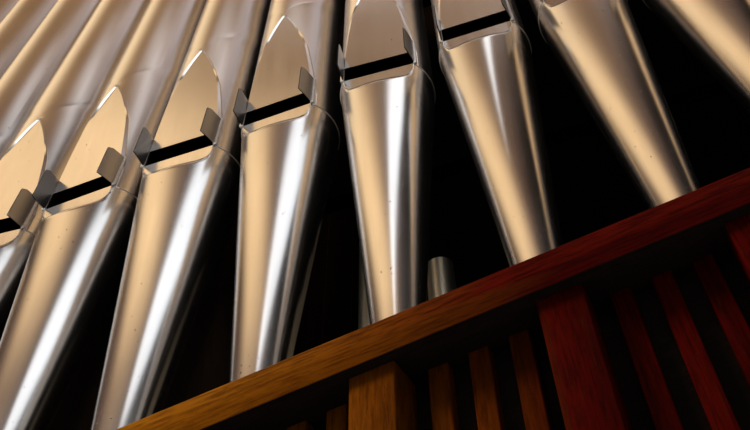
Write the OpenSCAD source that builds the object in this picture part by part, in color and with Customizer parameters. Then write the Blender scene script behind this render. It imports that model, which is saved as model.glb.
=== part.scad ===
// Pipe organ: a row of display pipes standing on a slatted wooden case.
// Millimetres, +Z up, the organ faces -Y. The origin is the middle of the base, at floor level.

/* [Pipe row] */
// Number of display pipes, always even
pipe_count = 14; // [4:2:16]
// Distance from one pipe to the next
pipe_pitch = 130; // [120:1:150]
// Height of the seams between feet and bodies above the floor
seam_z = 2000; // [1900:10:2200]
// Room between the end pipes and the corner posts, at least
end_room = 5; // [2:1:40]
// Turn of each pipe's mouth to the right, in degrees, from the left end of the row
pipe_turn = [6, 6, 6, 11, 3, 6, 4, 9, 6, 6, 6, 6, 6, 6]; // [0:1:12]

/* [Display pipe] */
// Outer radius of a pipe body
pipe_r = 56; // [50:0.5:58]
// Thickness of the pipe metal
wall = 2; // [1.5:0.5:3]
// Length of the conical foot, from the toe to the seam
foot_len = 470; // [445:5:600]
// Outer radius of the toe
toe_r = 15; // [12:0.5:18]
// Length of the two middle bodies, above the seam
body_len = 1330; // [1000:10:1500]
// How much shorter each body is than its neighbour nearer the middle
body_drop = 14; // [0:1:30]

/* [Mouth] */
// Width of the mouth and of the flat lips
mouth_w = 85; // [70:1:92]
// Height of the open mouth, from the seam up to the upper lip's straight edge
slot_top = 31; // [24:1:45]
// Metal left between the open mouth and the edge of the flat lips
slot_margin = 1.5; // [1:0.5:3]
// Height of the pointed top of the upper lip above the seam
leaf_top = 237; // [160:1:280]
// How much wider the upper lip's arcs start than the mouth, on each side
leaf_margin = 1; // [0.5:0.5:2]
// How far the upper lip's point lies behind the pipe's front
leaf_tip = 1; // [0.5:0.5:3]
// Depth of the flat lower lip below its straight edge
lip_drop = 22; // [20:1:30]
// Radius of the lower lip's lower corners
lip_r = 18; // [12:1:20]
// Slope of the foot's metal below the lower lip, from upright
lip_lean = 40; // [30:1:45]
// Thickness of the plate that closes the foot
languid_t = 4; // [3:0.5:6]
// Width of the wind slit behind the lower lip
flue_gap = 1.5; // [1:0.5:2.5]
// Clearance round the plate that closes the foot
languid_gap = 0.3; // [0.2:0.1:0.6]

/* [Ears] */
// Height of an ear
ear_h = 56; // [40:1:70]
// How far an ear stands out from the lips
ear_d = 23; // [15:1:30]
// Thickness of an ear
ear_t = 1.5; // [1:0.5:2.5]
// Radius of an ear's free corners
ear_r = 6; // [2:1:9]
// Height of an ear's lower edge above the seam
ear_z = 1; // [0.5:0.5:4]

/* [Impost rail] */
// Height of the rail's front face
rail_h = 34; // [25:1:60]
// Depth of the rail, and of the front frame
rail_d = 44; // [38:1:46]
// Distance from the seams down to the rail's top
rail_drop = 438; // [400:1:450]
// Distance from the rail's front back to the flat lips
mouth_setback = 34; // [32:1:60]

/* [Slatted front] */
// Distance from one post to the next
post_pitch = 144; // [140:1:180]
// Width of a post
post_w = 35; // [25:1:40]
// How far the posts lie behind the rail's front
post_recess = 9; // [5:1:24]
// Number of slats between two posts
slats_per_bay = 3; // [2:1:3]
// Width of a slat
slat_w = 16; // [12:1:18]
// Distance from one slat to the next
slat_pitch = 32; // [28:0.5:34]
// How far the slats lie behind the rail's front
slat_recess = 32; // [27:1:34]
// Height of the battens behind the slats
batten_h = 40; // [30:1:60]
// Depth of the battens
batten_d = 20; // [15:1:30]
// Height of the upper batten above the plinth
batten_rise = 640; // [400:10:900]

/* [Case] */
// Depth of the whole case
case_d = 640; // [600:10:800]
// Width of a corner post
corner_w = 40; // [36:1:50]
// Thickness of the side and back rails
frame_t = 25; // [20:1:30]
// Thickness of the side and back panels
panel_t = 18; // [12:1:19]
// Width of the two upright stiles in the back
back_stile_w = 60; // [40:1:90]
// Height of the plinth
plinth_h = 100; // [60:5:150]
// Height of the bottom side and back rails
bottom_rail_h = 80; // [60:5:120]
// Height of the top rails and of the cornice rail
top_rail_h = 60; // [40:5:90]
// Room between the longest body and the cornice rail
head_room = 60; // [30:5:120]
// Thickness of the roof board
roof_t = 22; // [16:1:30]

/* [Wind chests and inner work] */
// Thickness of the toe board
toe_board_t = 40; // [30:1:60]
// Height of the chest under the display pipes
facade_chest_h = 120; // [90:5:160]
// Height of the inner chest
inner_chest_h = 140; // [100:5:180]
// Distance from the toe board's top down to the inner chest's top
inner_chest_drop = 90; // [60:5:120]
// Distance between the toe board's back and the inner chest
chest_gap = 76; // [50:1:90]
// Depth of the inner chest
inner_chest_d = 300; // [200:10:340]
// Distance from the end bodies' tops down to the rail behind the pipe bodies
rack_drop = 300; // [100:10:500]
// Height of the rail behind the pipe bodies
rack_h = 60; // [40:5:80]
// Depth of the rail behind the pipe bodies
rack_d = 30; // [20:1:40]
// Clearance between the pipe bodies and the rail behind them
rack_gap = 0.3; // [0.2:0.1:0.6]
// Outer radius of an inner pipe
inner_pipe_r = 16; // [12:0.5:18]
// Distance from one inner pipe to the next
inner_pitch = 43; // [38:1:50]
// Number of inner pipes
inner_count = 3; // [1:1:6]
// Length of the shortest inner pipe
inner_len = 394; // [300:1:500]
// How much longer each inner pipe is than the one on its right
inner_step = 58; // [10:1:80]
// Length of an inner pipe's conical foot
inner_foot = 150; // [100:5:200]
// Place of the shortest inner pipe, right of the middle
inner_x = 53; // [0:1:100]
// Distance from the inner chest's front back to the inner pipes
inner_setback = 40; // [25:1:60]
// Thickness of the inner panel
inner_panel_t = 16; // [12:1:20]
// Height of the inner panel
inner_panel_h = 660; // [500:10:800]
// Distance from the middle to the inner panel's free edge
inner_panel_x = 130; // [100:1:200]
// Height of the inner brace's lower edge above the seams
brace_rise = 227; // [150:1:300]
// Height of the inner brace
brace_h = 40; // [30:1:60]
// Depth of the inner brace
brace_d = 30; // [20:1:40]
// Distance from the case's middle back to the brace's middle
brace_y = 25; // [0:1:60]
// Angle of the inner brace to the front, seen from above
brace_skew = 7; // [0:1:9]

/* [Hidden] */
$fn = 96;
eps = 1;
front_y = -case_d / 2;
inner_y = front_y + rail_d;
back_y = case_d / 2;
mouth_half = mouth_w / 2;
mouth_depth = sqrt(pipe_r * pipe_r - mouth_half * mouth_half);
axis_y = front_y + mouth_setback + mouth_depth;
bore_r = pipe_r - wall;
toe_bore_r = toe_r - wall;
toe_z = seam_z - foot_len;
leaf_rise = leaf_top - slot_top;
leaf_half = mouth_half + leaf_margin;
leaf_r = (leaf_half * leaf_half + leaf_rise * leaf_rise) / (2 * leaf_half);
bays = ceil((pipe_count * pipe_pitch + 2 * end_room + corner_w) / post_pitch);
half_w = bays * post_pitch / 2 + corner_w / 2;
corner_x = half_w - corner_w;
side_x = half_w - frame_t;
rail_top = seam_z - rail_drop;
rail_z = rail_top - rail_h;
top_z = seam_z + body_len + head_room;
roof_z = top_z + top_rail_h;
chest_d = 2 * (axis_y - inner_y);
chest_top = toe_z - toe_board_t;
inner_front = inner_y + chest_d + chest_gap;
inner_top = toe_z - inner_chest_drop;
stile_x = half_w / 3;
inner_back = back_y - frame_t;

wood = [0.42, 0.16, 0.07];
dark_wood = [0.10, 0.06, 0.04];
metal = [0.72, 0.70, 0.68];

function two_digits(i) = i < 10 ? str("0", i) : str(i);
function foot_name(i) = str("facade_foot_", two_digits(i));
function body_name(i) = str("facade_body_", two_digits(i));
function pipe_x(i) = (i - (pipe_count + 1) / 2) * pipe_pitch;
function rank_from_middle(i) = abs(i - (pipe_count + 1) / 2) - 1 / 2;
function body_h(i) = body_len - body_drop * rank_from_middle(i);
function turn_of(i) = pipe_turn[(i - 1) % len(pipe_turn)];

CASE_NODES = [
    "ears", "corner_posts", "front_posts", "front_slats", "slat_battens", "impost_rail",
    "cornice_rail", "case_rails", "side_panels", "back_stiles", "back_panels", "roof_board",
    "plinth_long_boards", "plinth_end_boards", "toe_board", "facade_chest", "pipe_rack",
    "inner_chest", "inner_pipes", "inner_panel", "inner_brace"
];

// A board from one corner to the other
module board(from, to) {
    translate(from) cube(to - from);
}

// The same thing on the left and on the right
module both_sides() {
    children();
    mirror([1, 0, 0]) children();
}

// Outline of the upper lip: upright sides up to the straight edge, then two arcs to a point
module leaf_outline(grow) {
    half = leaf_half + grow;
    translate([-half, -eps]) square([2 * half, slot_top + eps]);
    intersection() {
        translate([half - leaf_r, slot_top]) circle(r = leaf_r, $fn = 180);
        translate([leaf_r - half, slot_top]) circle(r = leaf_r, $fn = 180);
        translate([-half, slot_top]) square([2 * half, leaf_rise + 4 * wall]);
    }
}

// Puts a piece of a display pipe at its place in the row, at seam height, turned as that pipe is
module at_pipe(i) {
    translate([pipe_x(i), axis_y, seam_z]) rotate([0, 0, turn_of(i)]) children();
}

// What is pressed in at the front of a body: upright at the mouth, then leaning out to the point
module leaf_press(grow) {
    plane_y = -mouth_depth + grow;
    point_y = -pipe_r + leaf_tip + grow;
    outer_y = -2 * pipe_r;
    intersection() {
        rotate([90, 0, 0]) linear_extrude(height = 2 * pipe_r) leaf_outline(grow);
        rotate([90, 0, 90]) translate([0, 0, -pipe_r]) linear_extrude(height = 2 * pipe_r)
            polygon([
                [outer_y, -eps], [plane_y, -eps], [plane_y, slot_top],
                [point_y, leaf_top], [point_y, leaf_top + 4 * wall], [outer_y, leaf_top + 4 * wall]
            ]);
    }
}

// What is pressed in at the front of a foot: a flat lip with rounded lower corners that slopes out
module lower_lip_press(grow) {
    plane_y = -mouth_depth + grow;
    low_z = -lip_drop;
    bend_x = mouth_half - lip_r;
    reach = pipe_r;
    spread = reach / tan(lip_lean);
    translate([-leaf_half, plane_y - reach, low_z + lip_r])
        cube([2 * leaf_half, reach, lip_drop]);
    rotate([90, 0, 90]) translate([0, 0, -bend_x]) linear_extrude(height = 2 * bend_x)
        polygon([
            [plane_y, low_z + lip_r], [plane_y, low_z],
            [plane_y - reach, low_z - spread], [plane_y - reach, low_z + lip_r]
        ]);
    for (x = [-bend_x, bend_x]) translate([x, plane_y, low_z + lip_r]) rotate([90, 0, 0])
        cylinder(r1 = lip_r, r2 = lip_r + spread, h = reach);
}

module foot_shape(r_low, r_high, grow) {
    difference() {
        translate([0, 0, -foot_len]) cylinder(r1 = r_low, r2 = r_high, h = foot_len);
        lower_lip_press(grow);
    }
}

// The plate that closes the foot, short of the lower lip by the wind slit
module languid_shape() {
    low_r = bore_r - (bore_r - toe_bore_r) * languid_t / foot_len;
    intersection() {
        translate([0, 0, -languid_t]) cylinder(r = low_r - languid_gap, h = languid_t);
        translate([-pipe_r, -mouth_depth + wall + flue_gap, -languid_t])
            cube([2 * pipe_r, 2 * pipe_r, languid_t]);
    }
}

module facade_foot(i) {
    color(metal) at_pipe(i) {
        difference() {
            foot_shape(toe_r, pipe_r, 0);
            foot_shape(toe_bore_r, bore_r, wall);
        }
        languid_shape();
    }
}

module facade_body(i) {
    color(metal) at_pipe(i) difference() {
        cylinder(r = pipe_r, h = body_h(i));
        leaf_press(0);
        difference() {
            translate([0, 0, -eps]) cylinder(r = bore_r, h = body_h(i) + 2 * eps);
            leaf_press(wall);
        }
        translate([slot_margin - mouth_half, -2 * pipe_r, -eps])
            cube([mouth_w - 2 * slot_margin, 2 * pipe_r - mouth_depth + 2 * wall, slot_top + eps]);
    }
}

// Outline of an ear, out from the lips and up, with both free corners rounded
module ear_outline() {
    square([ear_d + 2 * ear_t, ear_h - ear_r]);
    square([ear_d + 2 * ear_t - ear_r, ear_h]);
    translate([ear_d + 2 * ear_t - ear_r, ear_h - ear_r]) circle(r = ear_r);
}

module ears() {
    color(metal) for (i = [1:pipe_count]) at_pipe(i)
        both_sides() difference() {
            translate([mouth_half + ear_t, 2 * ear_t - mouth_depth, ear_z])
                rotate([90, 0, -90]) linear_extrude(height = ear_t) ear_outline();
            cylinder(r = pipe_r, h = leaf_top);
        }
}

module corner_posts() {
    color(wood) both_sides() {
        board([corner_x, front_y, plinth_h], [half_w, inner_y, roof_z]);
        board([corner_x, back_y - rail_d, plinth_h], [half_w, back_y, roof_z]);
    }
}

module front_posts() {
    color(wood) for (i = [1:bays - 1])
        translate([(i - bays / 2) * post_pitch, 0, 0])
            board([-post_w / 2, front_y + post_recess, plinth_h], [post_w / 2, inner_y, rail_z]);
}

module front_slats() {
    color(wood) for (i = [1:bays], k = [1:slats_per_bay])
        translate([
            (i - (bays + 1) / 2) * post_pitch + (k - (slats_per_bay + 1) / 2) * slat_pitch, 0, 0
        ])
            board([-slat_w / 2, front_y + slat_recess, plinth_h], [slat_w / 2, inner_y, rail_z]);
}

module slat_battens() {
    color(dark_wood) for (z = [plinth_h, plinth_h + batten_rise])
        board([-side_x, inner_y, z], [side_x, inner_y + batten_d, z + batten_h]);
}

module impost_rail() {
    color(wood) board([-corner_x, front_y, rail_z], [corner_x, inner_y, rail_top]);
}

module cornice_rail() {
    color(wood) board([-corner_x, front_y, top_z], [corner_x, inner_y, roof_z]);
}

// Bottom, impost and top levels of the rails at the sides and the back
module rail_levels() {
    for (level = [[plinth_h, plinth_h + bottom_rail_h], [rail_z, rail_top], [top_z, roof_z]])
        translate([0, 0, level[0]]) linear_extrude(height = level[1] - level[0]) children();
}

module case_rails() {
    color(wood) {
        rail_levels() both_sides()
            translate([side_x, inner_y]) square([frame_t, case_d - 2 * rail_d]);
        rail_levels() translate([-corner_x, inner_back]) square([2 * corner_x, frame_t]);
    }
}

// The two levels of the panels, between the rails
module panel_levels() {
    for (level = [[plinth_h + bottom_rail_h, rail_z], [rail_top, top_z]])
        translate([0, 0, level[0]]) linear_extrude(height = level[1] - level[0]) children();
}

module side_panels() {
    color(wood) panel_levels() both_sides()
        translate([side_x, inner_y]) square([panel_t, case_d - 2 * rail_d]);
}

module back_stiles() {
    color(wood) panel_levels() both_sides()
        translate([stile_x - back_stile_w / 2, inner_back]) square([back_stile_w, frame_t]);
}

module back_panels() {
    edge = stile_x - back_stile_w / 2;
    color(wood) panel_levels() {
        translate([-edge, inner_back]) square([2 * edge, panel_t]);
        both_sides() translate([edge + back_stile_w, inner_back])
            square([corner_x - edge - back_stile_w, panel_t]);
    }
}

module roof_board() {
    color(wood) board([-half_w, front_y, roof_z], [half_w, back_y, roof_z + roof_t]);
}

module plinth_long_boards() {
    color(wood) {
        board([-half_w, front_y, 0], [half_w, inner_y, plinth_h]);
        board([-half_w, back_y - rail_d, 0], [half_w, back_y, plinth_h]);
    }
}

module plinth_end_boards() {
    color(wood) both_sides()
        board([corner_x, inner_y, 0], [half_w, back_y - rail_d, plinth_h]);
}

module toe_board() {
    color(dark_wood) difference() {
        board([-side_x, inner_y, chest_top], [side_x, inner_y + chest_d, toe_z]);
        for (i = [1:pipe_count]) translate([pipe_x(i), axis_y, chest_top - eps])
            cylinder(r = toe_bore_r, h = toe_board_t + 2 * eps);
    }
}

module facade_chest() {
    color(dark_wood)
        board([-side_x, inner_y, chest_top - facade_chest_h], [side_x, inner_y + chest_d, chest_top]);
}

module pipe_rack() {
    rack_y = axis_y + pipe_r + rack_gap;
    rack_z = seam_z + body_h(1) - rack_drop;
    color(dark_wood) board([-side_x, rack_y, rack_z - rack_h], [side_x, rack_y + rack_d, rack_z]);
}

module inner_chest() {
    color(dark_wood) board(
        [-side_x, inner_front, inner_top - inner_chest_h],
        [side_x, inner_front + inner_chest_d, inner_top]);
}

// A small open pipe on a conical foot
module inner_pipe(len) {
    seat_r = inner_pipe_r / 2;
    difference() {
        union() {
            cylinder(r1 = seat_r, r2 = inner_pipe_r, h = inner_foot);
            translate([0, 0, inner_foot]) cylinder(r = inner_pipe_r, h = len - inner_foot);
        }
        translate([0, 0, inner_foot + wall]) cylinder(r = inner_pipe_r - wall, h = len);
    }
}

module inner_pipes() {
    color(metal) for (k = [0:inner_count - 1])
        translate([inner_x - k * inner_pitch, inner_front + inner_setback, inner_top])
            inner_pipe(inner_len + k * inner_step);
}

module inner_panel() {
    color(dark_wood) board(
        [-side_x, inner_front, inner_top],
        [-inner_panel_x, inner_front + inner_panel_t, inner_top + inner_panel_h]);
}

// A brace from side to side, at a slight angle to the front
module inner_brace() {
    color(wood) intersection() {
        translate([0, brace_y, seam_z + brace_rise]) rotate([0, 0, brace_skew])
            translate([-case_d * 2, 0, 0]) cube([case_d * 4, brace_d, brace_h]);
        board([-side_x, inner_y, seam_z], [side_x, inner_back, top_z]);
    }
}

for (i = [1:pipe_count]) {
    facade_foot(i);
    facade_body(i);
}
ears();
corner_posts();
front_posts();
front_slats();
slat_battens();
impost_rail();
cornice_rail();
case_rails();
side_panels();
back_stiles();
back_panels();
roof_board();
plinth_long_boards();
plinth_end_boards();
toe_board();
facade_chest();
pipe_rack();
inner_chest();
inner_pipes();
inner_panel();
inner_brace();
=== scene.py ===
import math

import bmesh
import bpy
import numpy as np
from mathutils import Matrix, Vector


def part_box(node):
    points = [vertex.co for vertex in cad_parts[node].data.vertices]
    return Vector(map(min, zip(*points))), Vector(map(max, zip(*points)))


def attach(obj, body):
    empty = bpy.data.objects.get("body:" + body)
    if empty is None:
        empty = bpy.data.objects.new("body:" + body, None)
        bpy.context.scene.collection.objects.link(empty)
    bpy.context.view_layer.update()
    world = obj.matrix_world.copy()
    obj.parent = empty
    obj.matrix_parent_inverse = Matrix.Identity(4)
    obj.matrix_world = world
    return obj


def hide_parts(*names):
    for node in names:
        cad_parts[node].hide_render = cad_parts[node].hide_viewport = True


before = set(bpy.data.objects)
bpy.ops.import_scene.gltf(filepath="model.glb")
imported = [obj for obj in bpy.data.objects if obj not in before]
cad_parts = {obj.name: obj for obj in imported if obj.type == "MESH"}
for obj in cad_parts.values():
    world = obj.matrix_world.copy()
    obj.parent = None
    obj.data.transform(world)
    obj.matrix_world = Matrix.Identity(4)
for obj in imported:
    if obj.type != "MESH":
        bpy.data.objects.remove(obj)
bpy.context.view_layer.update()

MM = 0.001

# The photograph's frame, and the camera that its pipes were solved for
PHOTO_W = 750
FOCAL_PX = 780
CENTRE_PX = (600, 170)
PHOTO_MID = (375, 215)
SENSOR = 36.0
CAMERA_AT = (0.2837, -0.7125, 1.1434)
CAMERA_RIGHT = (0.9237, 0.3046, -0.2323)
CAMERA_AHEAD = (-0.0133, 0.6316, 0.7752)

# The display pipes' sizes that the frame's boxes don't give
MOUTH_HALF = 42.5 * MM
SLOT_HIGH = 31 * MM
SLOT_HALF = 42.3 * MM
LEAF_TOP = 237 * MM
LEAF_HALF = 43.5 * MM
LEAF_TIP = 1 * MM
LIP_DROP = 22 * MM
LIP_CORNER = 18 * MM
LIP_LEAN = math.radians(40)
LIP_TILT = math.radians(7)
SHEET = 1.8 * MM
EAR_LOW = 1 * MM
EAR_HIGH = 58 * MM
EAR_DEEP = 23 * MM
EAR_ROUND = 6 * MM
EAR_THICK = 1.3 * MM
EAR_LEAN = {-1: 1.6 * MM, 1: -4.5 * MM}
EAR_OFF = 0.2 * MM
EAR_SUNK = 1.2 * MM
TOE_R = 15 * MM

# Fine work on the pipes: the crease over the upper lip, the shoulder under the lower one, and beads
CREASE_FROM = 6 * MM
CREASE_RUN = 55 * MM
BORDER_RUN = 5 * MM
TIP_RUN = 1.5 * MM
SHOULDER = 6 * MM
SHOULDER_RUN = 9 * MM
LANGUID_ROOM = 2.6 * MM
WIND_SLIT = 3.5 * MM
LANGUID_Z = (-4 * MM, -0.2 * MM)
SEAM_BEAD = 0.75 * MM
LIP_BEAD = 0.55 * MM
EAR_BEAD = (2.5, 1.0)
DROP = 2.3 * MM
EASE = 1.2 * MM
PANEL_EASE = 0.6 * MM
BODY_CREASE = 24
FOOT_CREASE = 28

# How far each pipe's mouth is turned to the right, in degrees, from the left end of the row
PIPE_TURN = [6, 6, 6, 11, 3, 6, 4, 9, 6, 6, 6, 6, 6, 6]
PIPES = [n[-2:] for n in sorted(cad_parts) if n.startswith("facade_body_")]


def smooth(t):
    """0 to 1 with level ends."""
    t = min(max(t, 0.0), 1.0)
    return t * t * (3 - 2 * t)


def new_mesh(name, points, faces, material, sharp=30):
    """A shaded mesh object whose creases over the given angle stay sharp."""
    mesh = bpy.data.meshes.new(name)
    mesh.from_pydata([tuple(p) for p in points], [], [tuple(f) for f in faces])
    mesh.validate()
    mesh.shade_smooth()
    mesh.set_sharp_from_angle(angle=math.radians(sharp))
    mesh.materials.append(material)
    piece = bpy.data.objects.new(name, mesh)
    bpy.context.scene.collection.objects.link(piece)
    return piece


def join_parts(parts):
    """Points and faces of several (points, faces) pairs as one pair."""
    points = []
    faces = []
    for part_points, part_faces in parts:
        start = len(points)
        points.extend(part_points)
        faces.extend([tuple(i + start for i in f) for f in part_faces])
    return points, faces


def placed(part, turn, at):
    """A (points, faces) pair turned by some degrees and moved to a place."""
    matrix = Matrix.Translation(at) @ Matrix.Rotation(math.radians(turn), 4, "Z")
    return [tuple(matrix @ Vector(p)) for p in part[0]], part[1]


# Materials

def node_material(name):
    material = bpy.data.materials.new(name)
    material.use_nodes = True
    tree = material.node_tree
    shader = tree.nodes["Principled BSDF"]
    return material, tree, shader


def add(tree, kind, **values):
    """A node with its inputs and properties set by name."""
    node = tree.nodes.new(kind)
    for key, value in values.items():
        if key in node.inputs:
            node.inputs[key].default_value = value
        else:
            setattr(node, key, value)
    return node


def placed_coordinates(tree, scale):
    """The object's own coordinates, stretched for a grain that runs one way."""
    coords = add(tree, "ShaderNodeTexCoord")
    mapping = add(tree, "ShaderNodeMapping", Scale=scale)
    tree.links.new(coords.outputs["Object"], mapping.inputs["Vector"])
    return mapping.outputs["Vector"]


def noise(tree, scale_xyz, scale=1.0, detail=4.0, roughness=0.5, distortion=0.0):
    node = add(tree, "ShaderNodeTexNoise", Scale=scale, Detail=detail, Roughness=roughness,
               Distortion=distortion)
    tree.links.new(placed_coordinates(tree, scale_xyz), node.inputs["Vector"])
    return node.outputs["Fac"]


def ramp(tree, source, stops):
    """A colour ramp from (place, colour) stops."""
    node = tree.nodes.new("ShaderNodeValToRGB")
    elements = node.color_ramp.elements
    while len(elements) < len(stops):
        elements.new(0.5)
    for element, (place, colour) in zip(elements, stops):
        element.position = place
        element.color = (*colour, 1.0)
    tree.links.new(source, node.inputs["Fac"])
    return node.outputs["Color"]


def stretched(tree, source, way, from_low, from_high, low=0.0, high=1.0):
    node = add(tree, "ShaderNodeMapRange", interpolation_type=way)
    ends = {"From Min": from_low, "From Max": from_high, "To Min": low, "To Max": high}
    for key, value in ends.items():
        node.inputs[key].default_value = value
    tree.links.new(source, node.inputs["Value"])
    return node.outputs["Result"]


def spread(tree, source, low, high, from_low=0.0, from_high=1.0):
    """The source, stretched from one range to another and kept within it."""
    return stretched(tree, source, "LINEAR", from_low, from_high, low, high)


def mix_colour(tree, factor, first, second, blend="MIX"):
    node = add(tree, "ShaderNodeMix", data_type="RGBA", blend_type=blend)
    for source, key in ((factor, 0), (first, 6), (second, 7)):
        if hasattr(source, "links"):
            tree.links.new(source, node.inputs[key])
        elif key == 0:
            node.inputs[key].default_value = source
        else:
            node.inputs[key].default_value = (*source, 1.0)
    return node.outputs[2]


def maths(tree, operation, first, second):
    node = add(tree, "ShaderNodeMath", operation=operation)
    for index, source in enumerate((first, second)):
        if hasattr(source, "links"):
            tree.links.new(source, node.inputs[index])
        else:
            node.inputs[index].default_value = source
    return node.outputs[0]


def bumped(tree, shader, height, strength, distance, after=None):
    node = add(tree, "ShaderNodeBump", Strength=strength, Distance=distance)
    tree.links.new(height, node.inputs["Height"])
    if after:
        tree.links.new(after, node.inputs["Normal"])
    tree.links.new(node.outputs["Normal"], shader.inputs["Normal"])
    return node.outputs["Normal"]


SPECK = (0.10, 0.075, 0.05)
SPECK_FROM = 0.765
SPECK_FULL = 0.79
WAVE_BUMP = (0.05, 0.003)
STREAK_BUMP = (0.008, 0.0003)
SOLDER_BUMP = (0.35, 0.0006)
GRAIN_BUMP = (0.22, 0.0008)
GRAIN_STOPS = (0.28, 0.5, 0.72)
BAND_LENGTH = 0.06
FIBRE_LENGTH = 0.10


def pipe_metal(name, light, dark, rough):
    """Planed tin alloy: soft lengthwise streaks, faint clouds, a few specks and slow waves."""
    material, tree, shader = node_material(name)
    shader.inputs["Metallic"].default_value = 1.0
    streaks = noise(tree, (90, 90, 2.5), detail=5, roughness=0.6)
    clouds = noise(tree, (7, 7, 4), detail=3)
    base = mix_colour(tree, spread(tree, clouds, 0.0, 1.0, 0.35, 0.65), dark, light)
    base = mix_colour(tree, spread(tree, streaks, 0.0, 0.35, 0.4, 0.75), base, dark)
    specks = noise(tree, (1, 1, 1), scale=310, detail=1)
    speck_mask = spread(tree, specks, 0.0, 1.0, SPECK_FROM, SPECK_FULL)
    base = mix_colour(tree, speck_mask, base, SPECK)
    tree.links.new(base, shader.inputs["Base Color"])
    roughness = spread(tree, streaks, -0.04, 0.05)
    roughness = maths(tree, "ADD", roughness, spread(tree, clouds, -0.03, 0.04))
    roughness = maths(tree, "ADD", roughness, rough)
    roughness = maths(tree, "ADD", roughness, maths(tree, "MULTIPLY", speck_mask, 0.4))
    tree.links.new(roughness, shader.inputs["Roughness"])
    waves = noise(tree, (5, 5, 2), detail=2)
    slow = bumped(tree, shader, waves, *WAVE_BUMP)
    bumped(tree, shader, streaks, *STREAK_BUMP, slow)
    return material


def solder(name):
    """Dull, lumpy solder."""
    material, tree, shader = node_material(name)
    shader.inputs["Metallic"].default_value = 0.7
    lumps = noise(tree, (1, 1, 1), scale=260, detail=3)
    tones = [(0.3, (0.56, 0.54, 0.52)), (0.7, (0.80, 0.78, 0.76))]
    tree.links.new(ramp(tree, lumps, tones), shader.inputs["Base Color"])
    tree.links.new(spread(tree, lumps, 0.30, 0.48), shader.inputs["Roughness"])
    bumped(tree, shader, lumps, *SOLDER_BUMP)
    return material


def wood(name, along, tones, rough, shine=0.025, falloff_tones=None):
    """Oiled hardwood: growth bands, fibres and pores that run along one axis. Where further tones are
    given, the wood turns from the first tones to them along the row, left to right: partly the wood's
    own deep red, partly painted light falling off from the left."""
    material, tree, shader = node_material(name)
    grain = [1.0, 1.0, 1.0]
    grain[along] = BAND_LENGTH
    bands = noise(tree, tuple(20 * g for g in grain), detail=5, roughness=0.55, distortion=0.9)
    grain[along] = FIBRE_LENGTH
    fibres = noise(tree, tuple(360 * g for g in grain), detail=4, roughness=0.65)
    pores = noise(tree, tuple(900 * g for g in grain), detail=2)
    base = ramp(tree, bands, list(zip(GRAIN_STOPS, tones)))
    deep = tones[0]
    # Painted light: the golden-to-red turn along x stands partly for light falling off from the left.
    if falloff_tones:
        split = add(tree, "ShaderNodeSeparateXYZ")
        tree.links.new(add(tree, "ShaderNodeTexCoord").outputs["Object"], split.inputs["Vector"])
        wander = maths(tree, "ADD", split.outputs["X"], spread(tree, bands, -0.05, 0.05, 0.3, 0.7))
        light_falloff = spread(tree, wander, 0.0, 1.0, *LIGHT_FALLOFF_X)
        far = ramp(tree, bands, list(zip(GRAIN_STOPS, falloff_tones)))
        base = mix_colour(tree, light_falloff, base, far)
        deep = mix_colour(tree, light_falloff, deep, falloff_tones[0])
    base = mix_colour(tree, spread(tree, fibres, 0.0, 0.8, 0.42, 0.64), base, deep)
    pore_mask = spread(tree, pores, 0.0, 0.7, 0.62, 0.72)
    base = mix_colour(tree, pore_mask, base, tuple(0.35 * c for c in tones[0]))
    tree.links.new(base, shader.inputs["Base Color"])
    tree.links.new(spread(tree, fibres, rough - 0.08, rough + 0.10), shader.inputs["Roughness"])
    shader.inputs["Specular IOR Level"].default_value = shine
    height = maths(tree, "SUBTRACT", fibres, maths(tree, "MULTIPLY", pore_mask, 0.6))
    bumped(tree, shader, height, *GRAIN_BUMP)
    return material


# The case wood turns from golden at the left end to deep red at the right: partly the wood's own red,
# partly painted light falling off from the left.
CASE_TONES = [(0.085, 0.024, 0.0010), (0.200, 0.068, 0.0020), (0.310, 0.125, 0.004)]
FALLOFF_RED_TONES = [(0.014, 0.0006, 0.0003), (0.044, 0.0012, 0.0005), (0.080, 0.0040, 0.0010)]
LIGHT_FALLOFF_X = (-0.08, 0.21)
# Painted shade: near-black wood for faces inside the case, the rail's underside and back, and the
# parts behind the front.
PAINTED_SHADE_TONES = [(0.004, 0.0025, 0.002), (0.007, 0.004, 0.003), (0.011, 0.006, 0.004)]
INNER_METAL = pipe_metal("inner_pipe_metal", (0.80, 0.72, 0.56), (0.66, 0.60, 0.47), 0.42)
METAL = pipe_metal("pipe_metal", (0.74, 0.71, 0.68), (0.63, 0.60, 0.57), 0.21)
EAR_METAL = pipe_metal("ear_metal", (0.42, 0.40, 0.38), (0.34, 0.32, 0.30), 0.32)
# Painted shade: near-black metal for the pipes' inner faces, sheet rims, ear edges and languids.
SHADED_INSIDE = pipe_metal("pipe_inside_painted_shade", (0.02, 0.018, 0.016), (0.012, 0.011, 0.010), 0.6)
SOLDER = solder("solder")
WOOD_X = wood("wood_lengthwise", 0, CASE_TONES, 0.5, falloff_tones=FALLOFF_RED_TONES)
WOOD_Y = wood("wood_depthwise", 1, CASE_TONES, 0.5, falloff_tones=FALLOFF_RED_TONES)
WOOD_Z = wood("wood_upright", 2, CASE_TONES, 0.5, falloff_tones=FALLOFF_RED_TONES)
# Painted-shade copies of the case wood, near-black.
PAINTED_SHADE_X = wood("painted_shade_wood_lengthwise", 0, PAINTED_SHADE_TONES, 0.85, 0.08)
PAINTED_SHADE_Z = wood("painted_shade_wood_upright", 2, PAINTED_SHADE_TONES, 0.85, 0.08)


# Display pipes. Each is made round its own axis, with its seam at height 0 and its mouth facing -Y.

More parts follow.
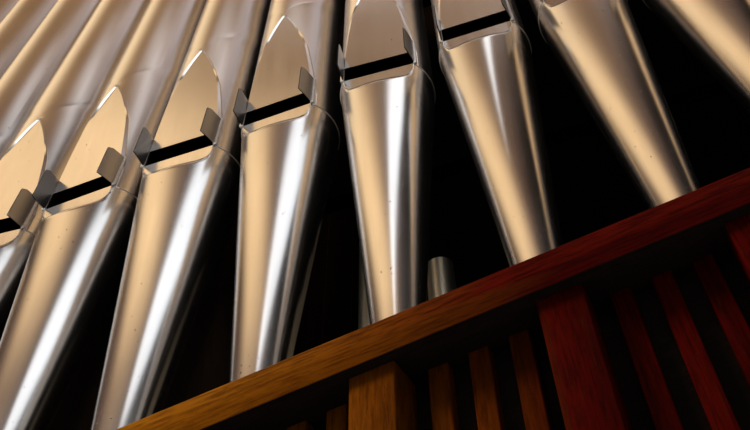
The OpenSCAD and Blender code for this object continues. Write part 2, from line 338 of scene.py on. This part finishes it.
body_low, body_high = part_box("facade_body_" + PIPES[0])
PIPE_R = (body_high.x - body_low.x) / 2
AXIS_Y = body_high.y - PIPE_R
SEAM_Z = body_low.z
FOOT_LEN = SEAM_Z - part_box("facade_foot_" + PIPES[0])[0].z
MOUTH_DEEP = math.sqrt(PIPE_R ** 2 - MOUTH_HALF ** 2)
LEAF_RISE = LEAF_TOP - SLOT_HIGH
LEAF_ARC = (LEAF_HALF ** 2 + LEAF_RISE ** 2) / (2 * LEAF_HALF)
STRIP_W = (3.4 * MM, 1.3 * MM)
GROOVE_W = 0.5 * MM
GROOVE_DEEP = 0.45 * MM
RIDGE = 0.25 * MM
TINY = 0.15 * MM
BACK_STEPS = 40
FLAT_STEPS = 9


def at_pipe(part, number):
    """A part that was made round a pipe's axis, at that pipe."""
    low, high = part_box("facade_body_" + number)
    turn = PIPE_TURN[PIPES.index(number)]
    return placed(part, turn, Vector(((low.x + high.x) / 2, AXIS_Y, SEAM_Z)))


def leaf_half(z):
    """Half width of the upper lip at a height, and how far it lies in front of the axis."""
    if z <= SLOT_HIGH:
        return MOUTH_HALF, MOUTH_DEEP
    t = (z - SLOT_HIGH) / LEAF_RISE
    deep = MOUTH_DEEP + (PIPE_R - LEAF_TIP - MOUTH_DEEP) * t
    arc = math.sqrt(LEAF_ARC ** 2 - (z - SLOT_HIGH) ** 2) - (LEAF_ARC - LEAF_HALF)
    return max(min(arc, math.sqrt(PIPE_R ** 2 - deep ** 2)), TINY), deep


def body_row(z):
    """Right half of a body's outline at a height, from the front to the back."""
    above = z - LEAF_TOP
    if above <= 0:
        half, deep = leaf_half(z)
        t = max(z - SLOT_HIGH, 0.0) / LEAF_RISE
        strip = STRIP_W[0] + (STRIP_W[1] - STRIP_W[0]) * t
        groove = GROOVE_DEEP
        ridge = RIDGE
    else:
        open_up = smooth((above - CREASE_FROM) / CREASE_RUN)
        close = smooth(above / BORDER_RUN)
        half = TINY + (MOUTH_HALF - TINY) * open_up
        deep = PIPE_R - LEAF_TIP * (1 - smooth(above / TIP_RUN))
        strip = STRIP_W[1] * (1 - close) + 0.3 * MM + 3 * MM * open_up
        groove = GROOVE_DEEP * (1 - close)
        ridge = RIDGE * (1 - close)
    row = []
    last_flat = SLOT_HALF / MOUTH_HALF
    for u in [*np.linspace(0, last_flat, FLAT_STEPS - 1), 1.0]:
        x = u * half
        round_y = math.sqrt(PIPE_R ** 2 - x ** 2)
        row.append((x, -min(deep, round_y)))
    for x, lift in ((half + strip, ridge), (half + strip + GROOVE_W, -groove),
                    (half + strip + 2 * GROOVE_W, 0.0)):
        angle = math.asin(x / PIPE_R)
        r = PIPE_R + lift
        row.append((r * math.sin(angle), -r * math.cos(angle)))
    for angle in np.linspace(angle, math.pi, BACK_STEPS)[1:]:
        row.append((PIPE_R * math.sin(angle), -PIPE_R * math.cos(angle)))
    return row


def full_row(half_row, z):
    """A closed outline from its right half."""
    right = [(x, y, z) for x, y in half_row]
    left = [(-x, y, z) for x, y in half_row[1:-1]]
    return right + left[::-1]


def grid_faces(rows, count, skip=None):
    """Quads between rows of a closed outline, facing out where the rows rise."""
    faces = []
    for j in range(rows - 1):
        for k in range(count):
            if skip and skip(j, k):
                continue
            right = (k + 1) % count
            low = j * count
            top = low + count
            faces.append((low + k, low + right, top + right, top + k))
    return faces


def body_part(height):
    slot_rows = list(np.linspace(0.0, SLOT_HIGH, 7))
    turns = np.linspace(0, 1, 46)[1:]
    leaf_rows = [SLOT_HIGH + LEAF_RISE * math.sin(t * math.pi / 2) for t in turns]
    tip_rows = [LEAF_TOP + d * MM for d in (0.7, 1.5, 3, 5, 8, 14, 22, 32, 45, 61)]
    plain_rows = list(np.linspace(LEAF_TOP + 61 * MM, height, 12))[1:]
    heights = slot_rows + leaf_rows + tip_rows + plain_rows
    outline = [full_row(body_row(z), z) for z in heights]
    count = len(outline[0])
    open_columns = set(range(FLAT_STEPS - 2)) | set(range(count - FLAT_STEPS + 2, count))
    last = len(slot_rows) - 1

    def in_slot(j, k):
        return j < last and k in open_columns

    points = [p for row in outline for p in row]
    return points, grid_faces(len(heights), count, in_slot)


def foot_radius(z):
    return PIPE_R + (PIPE_R - TOE_R) * z / FOOT_LEN


def lip_distance(x, z):
    """How far a point of the foot's front lies outside the flat lower lip."""
    low = LIP_CORNER - LIP_DROP
    dx = abs(x) - (MOUTH_HALF - LIP_CORNER)
    dz = low - z
    if dz <= 0:
        return 0.0
    return max(math.hypot(max(dx, 0.0), dz) - LIP_CORNER, 0.0)


def foot_row(z, xs):
    """Right half of a foot's outline: the pressed front, then the plain cone."""
    r = foot_radius(z)
    low = -LIP_DROP
    row = []
    for x in xs:
        scaled = x * r / PIPE_R
        cone = math.sqrt(r * r - scaled * scaled)
        away = lip_distance(scaled, z)
        cut = MOUTH_DEEP + max(z, low) * math.tan(LIP_TILT) + away * math.tan(LIP_LEAN)
        blend = SHOULDER * smooth(away / SHOULDER_RUN) + 0.01 * MM
        h = min(max(0.5 + 0.5 * (cone - cut) / blend, 0.0), 1.0)
        deep = cone + (cut - cone) * h - blend * h * (1 - h)
        row.append((scaled, -deep))
    edge = math.asin(xs[-1] / PIPE_R)
    for angle in np.linspace(edge, math.pi, BACK_STEPS)[1:]:
        row.append((r * math.sin(angle), -r * math.cos(angle)))
    return row


def foot_part():
    flat_low = -LIP_DROP
    xs = list(np.linspace(0, 22 * MM, 9)) + list(np.linspace(24.5 * MM, 47 * MM, 24))
    heights = list(np.linspace(0, flat_low, 22))
    heights += list(np.linspace(flat_low - 0.7 * MM, -60 * MM, 36))
    heights += list(np.linspace(-66 * MM, -FOOT_LEN + 6 * MM, 26))
    heights += [-FOOT_LEN + 2 * MM, -FOOT_LEN]
    heights = heights[::-1]
    outline = [full_row(foot_row(z, xs), z) for z in heights]
    count = len(outline[0])
    return [p for row in outline for p in row], grid_faces(len(heights), count)


def languid_part():
    """The plate that closes a foot, cut straight behind the wind slit."""
    r = PIPE_R - LANGUID_ROOM
    front = MOUTH_DEEP - WIND_SLIT
    edge = math.acos(front / r)
    angles = np.linspace(edge, 2 * math.pi - edge, 60)
    outline = [(r * math.sin(a), -r * math.cos(a)) for a in angles]
    count = len(outline)
    points = [(x, y, z) for z in LANGUID_Z for x, y in outline]
    faces = grid_faces(2, count)
    faces.append(tuple(range(count))[::-1])
    faces.append(tuple(range(count, 2 * count)))
    return points, faces


def thicken(piece, thickness, sharp):
    """Sheet thickness inwards, with crisp rims; the inner face and the rims take the second material,
    which is painted shade.
    """
    solid = piece.modifiers.new("sheet", "SOLIDIFY")
    solid.thickness = thickness
    solid.offset = -1
    solid.material_offset = 1
    solid.material_offset_rim = 1
    graph = bpy.context.evaluated_depsgraph_get()
    mesh = bpy.data.meshes.new_from_object(piece.evaluated_get(graph))
    mesh.set_sharp_from_angle(angle=math.radians(sharp))
    piece.modifiers.clear()
    piece.data = mesh
    return piece


def make_pipe(number):
    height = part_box("facade_body_" + number)[1].z - SEAM_Z
    points, faces = at_pipe(body_part(height), number)
    body = new_mesh("pipe_body_" + number, points, faces, METAL, BODY_CREASE)
    # The inner face and rims get painted near-black shade.
    body.data.materials.append(SHADED_INSIDE)
    thicken(body, SHEET, BODY_CREASE)
    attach(body, "root")
    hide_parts("facade_body_" + number)
    points, faces = at_pipe(foot_part(), number)
    foot = new_mesh("pipe_foot_" + number, points, faces, METAL, FOOT_CREASE)
    # The inner face and rims get painted near-black shade.
    foot.data.materials.append(SHADED_INSIDE)
    thicken(foot, SHEET, FOOT_CREASE)
    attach(foot, "root")
    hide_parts("facade_foot_" + number)


def ear_part(side):
    """One ear: a plate with a rounded free corner that leans out a little."""
    rows = 15
    columns = 9
    points = []
    for face in (0, 1):
        for j in range(rows):
            z = EAR_LOW + (EAR_HIGH - EAR_LOW) * j / (rows - 1)
            reach = EAR_DEEP
            over = z - (EAR_HIGH - EAR_ROUND)
            if over > 0:
                reach -= EAR_ROUND - math.sqrt(max(EAR_ROUND ** 2 - over ** 2, 0.0))
            for k in range(columns):
                out = reach * k / (columns - 1)
                lean = side * EAR_LEAN[side] * (out / EAR_DEEP) ** 1.3
                x = MOUTH_HALF + EAR_OFF + lean + EAR_THICK * face
                y = -MOUTH_DEEP + EAR_SUNK - out - EAR_SUNK * k / (columns - 1)
                points.append((side * x, y, z))
    faces = []
    size = rows * columns
    for j in range(rows - 1):
        for k in range(columns - 1):
            a = j * columns + k
            faces.append((a, a + columns, a + columns + 1, a + 1))
            b = a + size
            faces.append((b, b + 1, b + columns + 1, b + columns))
    plates = len(faces)
    rim = list(range(columns))
    rim += [j * columns + columns - 1 for j in range(1, rows)]
    rim += [(rows - 1) * columns + k for k in range(columns - 2, -1, -1)]
    rim += [j * columns for j in range(rows - 2, 0, -1)]
    for a, b in zip(rim, rim[1:] + rim[:1]):
        faces.append((a, b, b + size, a + size))
    if side < 0:
        faces = [f[::-1] for f in faces]
    return points, faces, plates


def tube_part(path, radius, sides=8, closed=False):
    """A round bead along a path of points."""
    path = [Vector(p) for p in path]
    count = len(path)
    points = []
    for i, p in enumerate(path):
        ahead = path[(i + 1) % count] if closed or i < count - 1 else p
        behind = path[i - 1] if closed or i > 0 else p
        along = (ahead - behind).normalized()
        if i == 0:
            side = along.orthogonal().normalized()
        else:
            side = (side - along * side.dot(along)).normalized()
        up = along.cross(side)
        size = radius(i / max(count - 1, 1)) if callable(radius) else radius
        for s in range(sides):
            a = 2 * math.pi * s / sides
            points.append(tuple(p + side * (size * math.cos(a)) + up * (size * math.sin(a))))
    faces = grid_faces(count, sides)
    if closed:
        base = (count - 1) * sides
        faces += [(base + k, base + (k + 1) % sides, (k + 1) % sides, k) for k in range(sides)]
    else:
        faces.append(tuple(range(sides))[::-1])
        faces.append(tuple(range(len(points) - sides, len(points))))
    return points, faces


def seam_path():
    """Round the pipe at the seam, from one corner of the mouth to the other."""
    edge = math.asin((MOUTH_HALF + 1.5 * MM) / PIPE_R)
    angles = np.linspace(edge, 2 * math.pi - edge, 72)
    return [(PIPE_R * math.sin(a), -PIPE_R * math.cos(a), 0.0) for a in angles]


def lip_edge_path():
    """Along the lower lip's edge, from one corner of the mouth to the other."""
    bend = MOUTH_HALF - LIP_CORNER
    low = LIP_CORNER - LIP_DROP
    path = [(MOUTH_HALF, -MOUTH_DEEP, -1 * MM)]
    for a in np.linspace(0, math.pi / 2, 14):
        z = low - LIP_CORNER * math.sin(a)
        path.append((bend + LIP_CORNER * math.cos(a), -MOUTH_DEEP - z * math.tan(LIP_TILT), z))
    left = [(-x, y, z) for x, y, z in path]
    return path + left[::-1]


def drop_part(at, size):
    """A small lump of solder."""
    points = []
    rings = 7
    sides = 12
    for j in range(rings + 1):
        a = math.pi * j / rings
        for k in range(sides):
            b = 2 * math.pi * k / sides
            r = size * math.sin(a) + 0.02 * MM
            x = at[0] + r * math.cos(b)
            y = at[1] + 0.8 * r * math.sin(b)
            points.append((x, y, at[2] - 1.25 * size * math.cos(a)))
    faces = grid_faces(rings + 1, sides)
    faces.append(tuple(range(sides))[::-1])
    faces.append(tuple(range(len(points) - sides, len(points))))
    return points, faces


def every_pipe(part):
    """The same part at every display pipe, as one (points, faces) pair."""
    return join_parts([at_pipe(part, number) for number in PIPES])


def metal_piece(name, part, material):
    """A piece of the pipes, at every display pipe."""
    piece = new_mesh(name, *every_pipe(part), material)
    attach(piece, "root")
    return piece


def make_mouth_trim():
    both = [ear_part(1), ear_part(-1)]
    ears = metal_piece("ears_plates", join_parts([part[:2] for part in both]), EAR_METAL)
    # The ears' edge faces get painted near-black shade, as dark outlines.
    ears.data.materials.append(SHADED_INSIDE)
    count = len(both[0][1])
    for face in ears.data.polygons:
        face.material_index = 0 if face.index % count < both[0][2] else 1
    rounded = ears.modifiers.new("edge", "BEVEL")
    rounded.width = 0.3 * MM
    rounded.segments = 2
    rounded.limit_method = "ANGLE"
    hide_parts("ears")
    metal_piece("seam_beads", tube_part(seam_path(), SEAM_BEAD), SOLDER)
    metal_piece("lower_lip_edges", tube_part(lip_edge_path(), LIP_BEAD), SOLDER)
    root_x = MOUTH_HALF + 0.4 * MM
    fillets = []
    drops = []
    for side in (1, -1):
        bead_x = side * (root_x + EAR_THICK + 0.5 * MM)
        path = [(bead_x, -MOUTH_DEEP + 0.6 * MM, z) for z in np.linspace(EAR_LOW, EAR_HIGH, 16)]
        fillets.append(tube_part(path, lambda t: (EAR_BEAD[0] - EAR_BEAD[1] * t) * MM))
        corner = (side * (root_x + 1.6 * MM), -MOUTH_DEEP - 0.6 * MM, 1.6 * MM)
        drops.append(drop_part(corner, DROP))
    metal_piece("ear_solder", join_parts(fillets + drops), SOLDER)
    # The languids are painted near-black shade.
    metal_piece("languid_plates", languid_part(), SHADED_INSIDE)


# Wooden case. Each board is its frame node with eased edges.

SIDE_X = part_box("side_panels")[1].x
ROOF_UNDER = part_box("roof_board")[0].z
RAIL_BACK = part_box("impost_rail")[1].y + 1 * MM


SIDE_DEEP = 60 * MM
TOP_DEEP = 90 * MM
BACK_FROM = 0.2


def faces_in(middle, normal):
    """Whether a case board's face looks into the closed case; such faces get painted shade."""
    if abs(middle.x) > SIDE_X - SIDE_DEEP and normal.x * middle.x < -0.5 * abs(middle.x):
        return True
    if middle.y < RAIL_BACK and normal.y > 0.5:
        return True
    if middle.y > BACK_FROM and normal.y < -0.5:
        return True
    return normal.z < -0.5 and middle.z > ROOF_UNDER - TOP_DEEP


# Faces under or at the back of a board; they get painted shade.
def under_or_behind(middle, normal):
    return normal.z < -0.9 or normal.y > 0.5


def dressed(node, material, inner, ease=EASE, hidden=faces_in):
    """A copy of a case board with eased edges and painted shade on its hidden faces, which stands for
    it.
    """
    form = bmesh.new()
    form.from_mesh(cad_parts[node].data)
    bmesh.ops.remove_doubles(form, verts=form.verts, dist=0.00001)
    bmesh.ops.dissolve_limit(form, angle_limit=math.radians(1), verts=form.verts, edges=form.edges)
    bmesh.ops.bevel(form, geom=form.edges[:], offset=ease, segments=2, profile=0.5, affect="EDGES")
    mesh = bpy.data.meshes.new(node)
    form.to_mesh(mesh)
    form.free()
    mesh.shade_smooth()
    mesh.set_sharp_from_angle(angle=math.radians(50))
    mesh.materials.clear()
    mesh.materials.append(material)
    mesh.materials.append(inner)
    for face in mesh.polygons:
        face.material_index = 1 if hidden(face.center, face.normal) else 0
    piece = bpy.data.objects.new("eased_" + node, mesh)
    bpy.context.scene.collection.objects.link(piece)
    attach(piece, "root")
    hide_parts(node)


def paint(node, material):
    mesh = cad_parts[node].data
    mesh.materials.clear()
    mesh.materials.append(material)


def make_case():
    dressed("impost_rail", WOOD_X, PAINTED_SHADE_X, hidden=under_or_behind)
    for node in ("cornice_rail", "roof_board", "plinth_long_boards", "case_rails"):
        dressed(node, WOOD_X, PAINTED_SHADE_X)
    for node in ("corner_posts", "front_posts", "front_slats", "back_stiles"):
        dressed(node, WOOD_Z, PAINTED_SHADE_Z)
    dressed("plinth_end_boards", WOOD_Y, PAINTED_SHADE_X)
    for node in ("side_panels", "back_panels"):
        dressed(node, WOOD_Z, PAINTED_SHADE_Z, PANEL_EASE)
    # The parts inside the case and the inner panel are painted near-black shade.
    inside = ("slat_battens", "toe_board", "facade_chest", "pipe_rack", "inner_chest", "inner_brace")
    for node in inside:
        paint(node, PAINTED_SHADE_X)
    paint("inner_panel", PAINTED_SHADE_Z)
    paint("inner_pipes", INNER_METAL)


# Stage, light and camera

FLOOR_HALF = 14.0


def make_floor():
    material, tree, shader = node_material("floor")
    grain = noise(tree, (1, 1, 1), scale=14, detail=4)
    tones = [(0.3, (0.74, 0.73, 0.71)), (0.7, (0.78, 0.77, 0.75))]
    tree.links.new(ramp(tree, grain, tones), shader.inputs["Base Color"])
    shader.inputs["Roughness"].default_value = 0.8
    half = FLOOR_HALF
    corners = [(-half, -half, 0), (half, -half, 0), (half, half, 0), (-half, half, 0)]
    floor = new_mesh("floor", corners, [(0, 1, 2, 3)], material)


# What polished metal sees overhead: lobes of (azimuth at SKY_FROM degrees of height, its change per
# degree), width, (lowest, highest degree) and colour, azimuth counted from the front (-Y) towards +X.
SKY_LOBES = [
    ((-20, 0.0), 60, (20, 52), (0.17, 0.10, 0.07)),
    ((-5, 0.0), 78, (52, 72), (0.34, 0.19, 0.09)),
    ((-10, -3.4), 32, (33, 50), (1.30, 0.91, 0.48)),
    ((-90, 0.0), 44, (50, 69), (1.10, 0.84, 0.52)),
    ((-5, 2.5), 28, (56, 72), (0.48, 0.47, 0.52)),
]
SKY_FROM = 35
SKY_FADE = 3
SKY_BASE = (0.008, 0.006, 0.005)
PALE_SKY = [(0.0, (0.92, 0.92, 0.92)), (0.22, (0.84, 0.84, 0.84)), (0.42, (0.0, 0.0, 0.0))]
FILL_LIGHT = (0.20, 0.20, 0.20)
DEGREES = 180 / math.pi


def sky_lobe(tree, azimuth, height, lobe):
    """One soft patch of the sky, in its colour on black."""
    (middle, slant), width, (lowest, highest), colour = lobe
    rise = maths(tree, "MULTIPLY", maths(tree, "SUBTRACT", height, SKY_FROM), slant)
    offset = maths(tree, "SUBTRACT", azimuth, maths(tree, "ADD", rise, middle))
    side = maths(tree, "DIVIDE", offset, width)
    side = maths(tree, "MULTIPLY", side, side)
    side = maths(tree, "MULTIPLY", side, side)
    glow = maths(tree, "EXPONENT", maths(tree, "MULTIPLY", side, -1.0), 0.0)
    for edge, before, after in ((lowest, 0.0, 1.0), (highest, 1.0, 0.0)):
        fade = stretched(tree, height, "SMOOTHSTEP", edge - SKY_FADE, edge + SKY_FADE, before, after)
        glow = maths(tree, "MULTIPLY", glow, fade)
    return mix_colour(tree, glow, (0.0, 0.0, 0.0), colour)


def make_world():
    """Pale round the horizon, with a warm and a cool soft patch overhead for the metal to mirror."""
    world = bpy.data.worlds.new("studio")
    bpy.context.scene.world = world
    world.use_nodes = True
    tree = world.node_tree
    background = tree.nodes["Background"]
    coords = add(tree, "ShaderNodeTexCoord")
    split = add(tree, "ShaderNodeSeparateXYZ")
    tree.links.new(coords.outputs["Generated"], split.inputs["Vector"])
    up = split.outputs["Z"]
    south = maths(tree, "MULTIPLY", split.outputs["Y"], -1.0)
    azimuth = maths(tree, "MULTIPLY", maths(tree, "ARCTAN2", split.outputs["X"], south), DEGREES)
    height = maths(tree, "MULTIPLY", maths(tree, "ARCSINE", up, 0.0), DEGREES)
    sky = SKY_BASE
    for lobe in SKY_LOBES:
        sky = mix_colour(tree, 1.0, sky, sky_lobe(tree, azimuth, height, lobe), "ADD")
    sky = mix_colour(tree, 1.0, sky, ramp(tree, up, PALE_SKY), "ADD")
    path = add(tree, "ShaderNodeLightPath")
    seen = maths(tree, "MAXIMUM", path.outputs["Is Camera Ray"], path.outputs["Is Glossy Ray"])
    seen = maths(tree, "MAXIMUM", seen, path.outputs["Is Transmission Ray"])
    tree.links.new(mix_colour(tree, seen, FILL_LIGHT, sky), background.inputs["Color"])
    background.inputs["Strength"].default_value = 1.0


CARD_AT = (0.12, -0.9, 3.34)
CARD_HALF = {"X": 0.50, "Z": 0.20}
CARD_GLOW = (0.66, 0.70, 0.75)
CARD_EDGE = 1.6


def make_card(name):
    """A soft one-sided reflector that only glossy surfaces see."""
    material = bpy.data.materials.new(name)
    material.use_nodes = True
    tree = material.node_tree
    tree.nodes.clear()
    split = add(tree, "ShaderNodeSeparateXYZ")
    tree.links.new(add(tree, "ShaderNodeTexCoord").outputs["Object"], split.inputs["Vector"])
    out = None
    for axis, half in CARD_HALF.items():
        square = maths(tree, "POWER", maths(tree, "ABSOLUTE", split.outputs[axis], 0.0), 4.0)
        square = maths(tree, "DIVIDE", square, half ** 4)
        out = maths(tree, "ADD", out, square) if out else square
    glow = maths(tree, "EXPONENT", maths(tree, "MULTIPLY", out, -1.0), 0.0)
    lit_side = add(tree, "ShaderNodeNewGeometry").outputs["Backfacing"]
    shine = add(tree, "ShaderNodeEmission", Color=(*CARD_GLOW, 1.0))
    tree.links.new(maths(tree, "MULTIPLY", glow, lit_side), shine.inputs["Strength"])
    both = add(tree, "ShaderNodeAddShader")
    tree.links.new(shine.outputs[0], both.inputs[0])
    tree.links.new(add(tree, "ShaderNodeBsdfTransparent").outputs[0], both.inputs[1])
    tree.links.new(both.outputs[0], add(tree, "ShaderNodeOutputMaterial").inputs["Surface"])
    x = CARD_EDGE * CARD_HALF["X"]
    z = CARD_EDGE * CARD_HALF["Z"]
    card = new_mesh(name, [(-x, 0, -z), (x, 0, -z), (x, 0, z), (-x, 0, z)], [(0, 1, 2, 3)], material)
    card.location = CARD_AT
    card.visible_camera = False
    card.visible_diffuse = False
    card.visible_shadow = False
    card.visible_transmission = False


LIGHT_ON = Vector((0, AXIS_Y, 1.9))
PANEL_AT = (0.27, -0.68, 2.27)
PANEL_FACES = (-0.957, 0.158, 0.24)
PANEL_SIZE = (0.54, 0.68)
PANEL_GLOW = (1.20, 1.27, 1.36)
ROUND = 1.13


def area_light(name, azimuth, elevation, distance, size, power, colour):
    """A soft light that faces the pipes' mouths, at an angle from +X seen from above."""
    a = math.radians(azimuth)
    e = math.radians(elevation)
    away = Vector((math.cos(e) * math.cos(a), math.cos(e) * math.sin(a), math.sin(e)))
    data = bpy.data.lights.new(name, "AREA")
    data.shape = "RECTANGLE"
    data.size = size[0]
    data.size_y = size[1]
    data.energy = power
    data.color = colour
    light = bpy.data.objects.new(name, data)
    light.location = LIGHT_ON + away * distance
    light.rotation_euler = away.to_track_quat("Z", "Y").to_euler()
    light.visible_camera = False
    light.visible_glossy = False
    bpy.context.scene.collection.objects.link(light)


def reflected_panel(name):
    """A small one-sided lamp that gives the metal a bright band to mirror and lights nothing else."""
    data = bpy.data.lights.new(name, "AREA")
    data.shape = "ELLIPSE"
    data.size = ROUND * PANEL_SIZE[0]
    data.size_y = ROUND * PANEL_SIZE[1]
    data.energy = 4 * PANEL_SIZE[0] * PANEL_SIZE[1] * max(PANEL_GLOW)
    data.color = [c / max(PANEL_GLOW) for c in PANEL_GLOW]
    lamp = bpy.data.objects.new(name, data)
    lamp.location = PANEL_AT
    lamp.rotation_euler = (-Vector(PANEL_FACES)).to_track_quat("Z", "Y").to_euler()
    lamp.visible_camera = False
    lamp.visible_diffuse = False
    lamp.visible_transmission = False
    bpy.context.scene.collection.objects.link(lamp)


def make_camera():
    data = bpy.data.cameras.new("camera")
    data.sensor_width = SENSOR
    data.sensor_fit = "HORIZONTAL"
    data.lens = FOCAL_PX / PHOTO_W * SENSOR
    data.shift_x = (PHOTO_MID[0] - CENTRE_PX[0]) / PHOTO_W
    data.shift_y = (CENTRE_PX[1] - PHOTO_MID[1]) / PHOTO_W
    ahead = Vector(CAMERA_AHEAD).normalized()
    right = Vector(CAMERA_RIGHT)
    right = (right - ahead * right.dot(ahead)).normalized()
    up = right.cross(ahead)
    turn = Matrix((right, up, -ahead)).transposed()
    camera = bpy.data.objects.new("camera", data)
    camera.matrix_world = Matrix.Translation(CAMERA_AT) @ turn.to_4x4()
    bpy.context.scene.collection.objects.link(camera)
    bpy.context.scene.camera = camera


for pipe_number in PIPES:
    make_pipe(pipe_number)
make_mouth_trim()
make_case()
make_floor()
make_world()
make_card("high_card")
reflected_panel("cool_panel")
area_light("warm_left", -132, 40, 2.1, (0.6, 0.6), 66, (1.0, 0.80, 0.52))
area_light("cool_right", -25, 40, 3.2, (1.7, 2.0), 8, (0.85, 0.92, 1.0))
area_light("back", 75, 35, 4.0, (2.4, 2.4), 110, (1.0, 0.97, 0.92))
make_camera()
bpy.context.scene.view_settings.view_transform = "Standard"
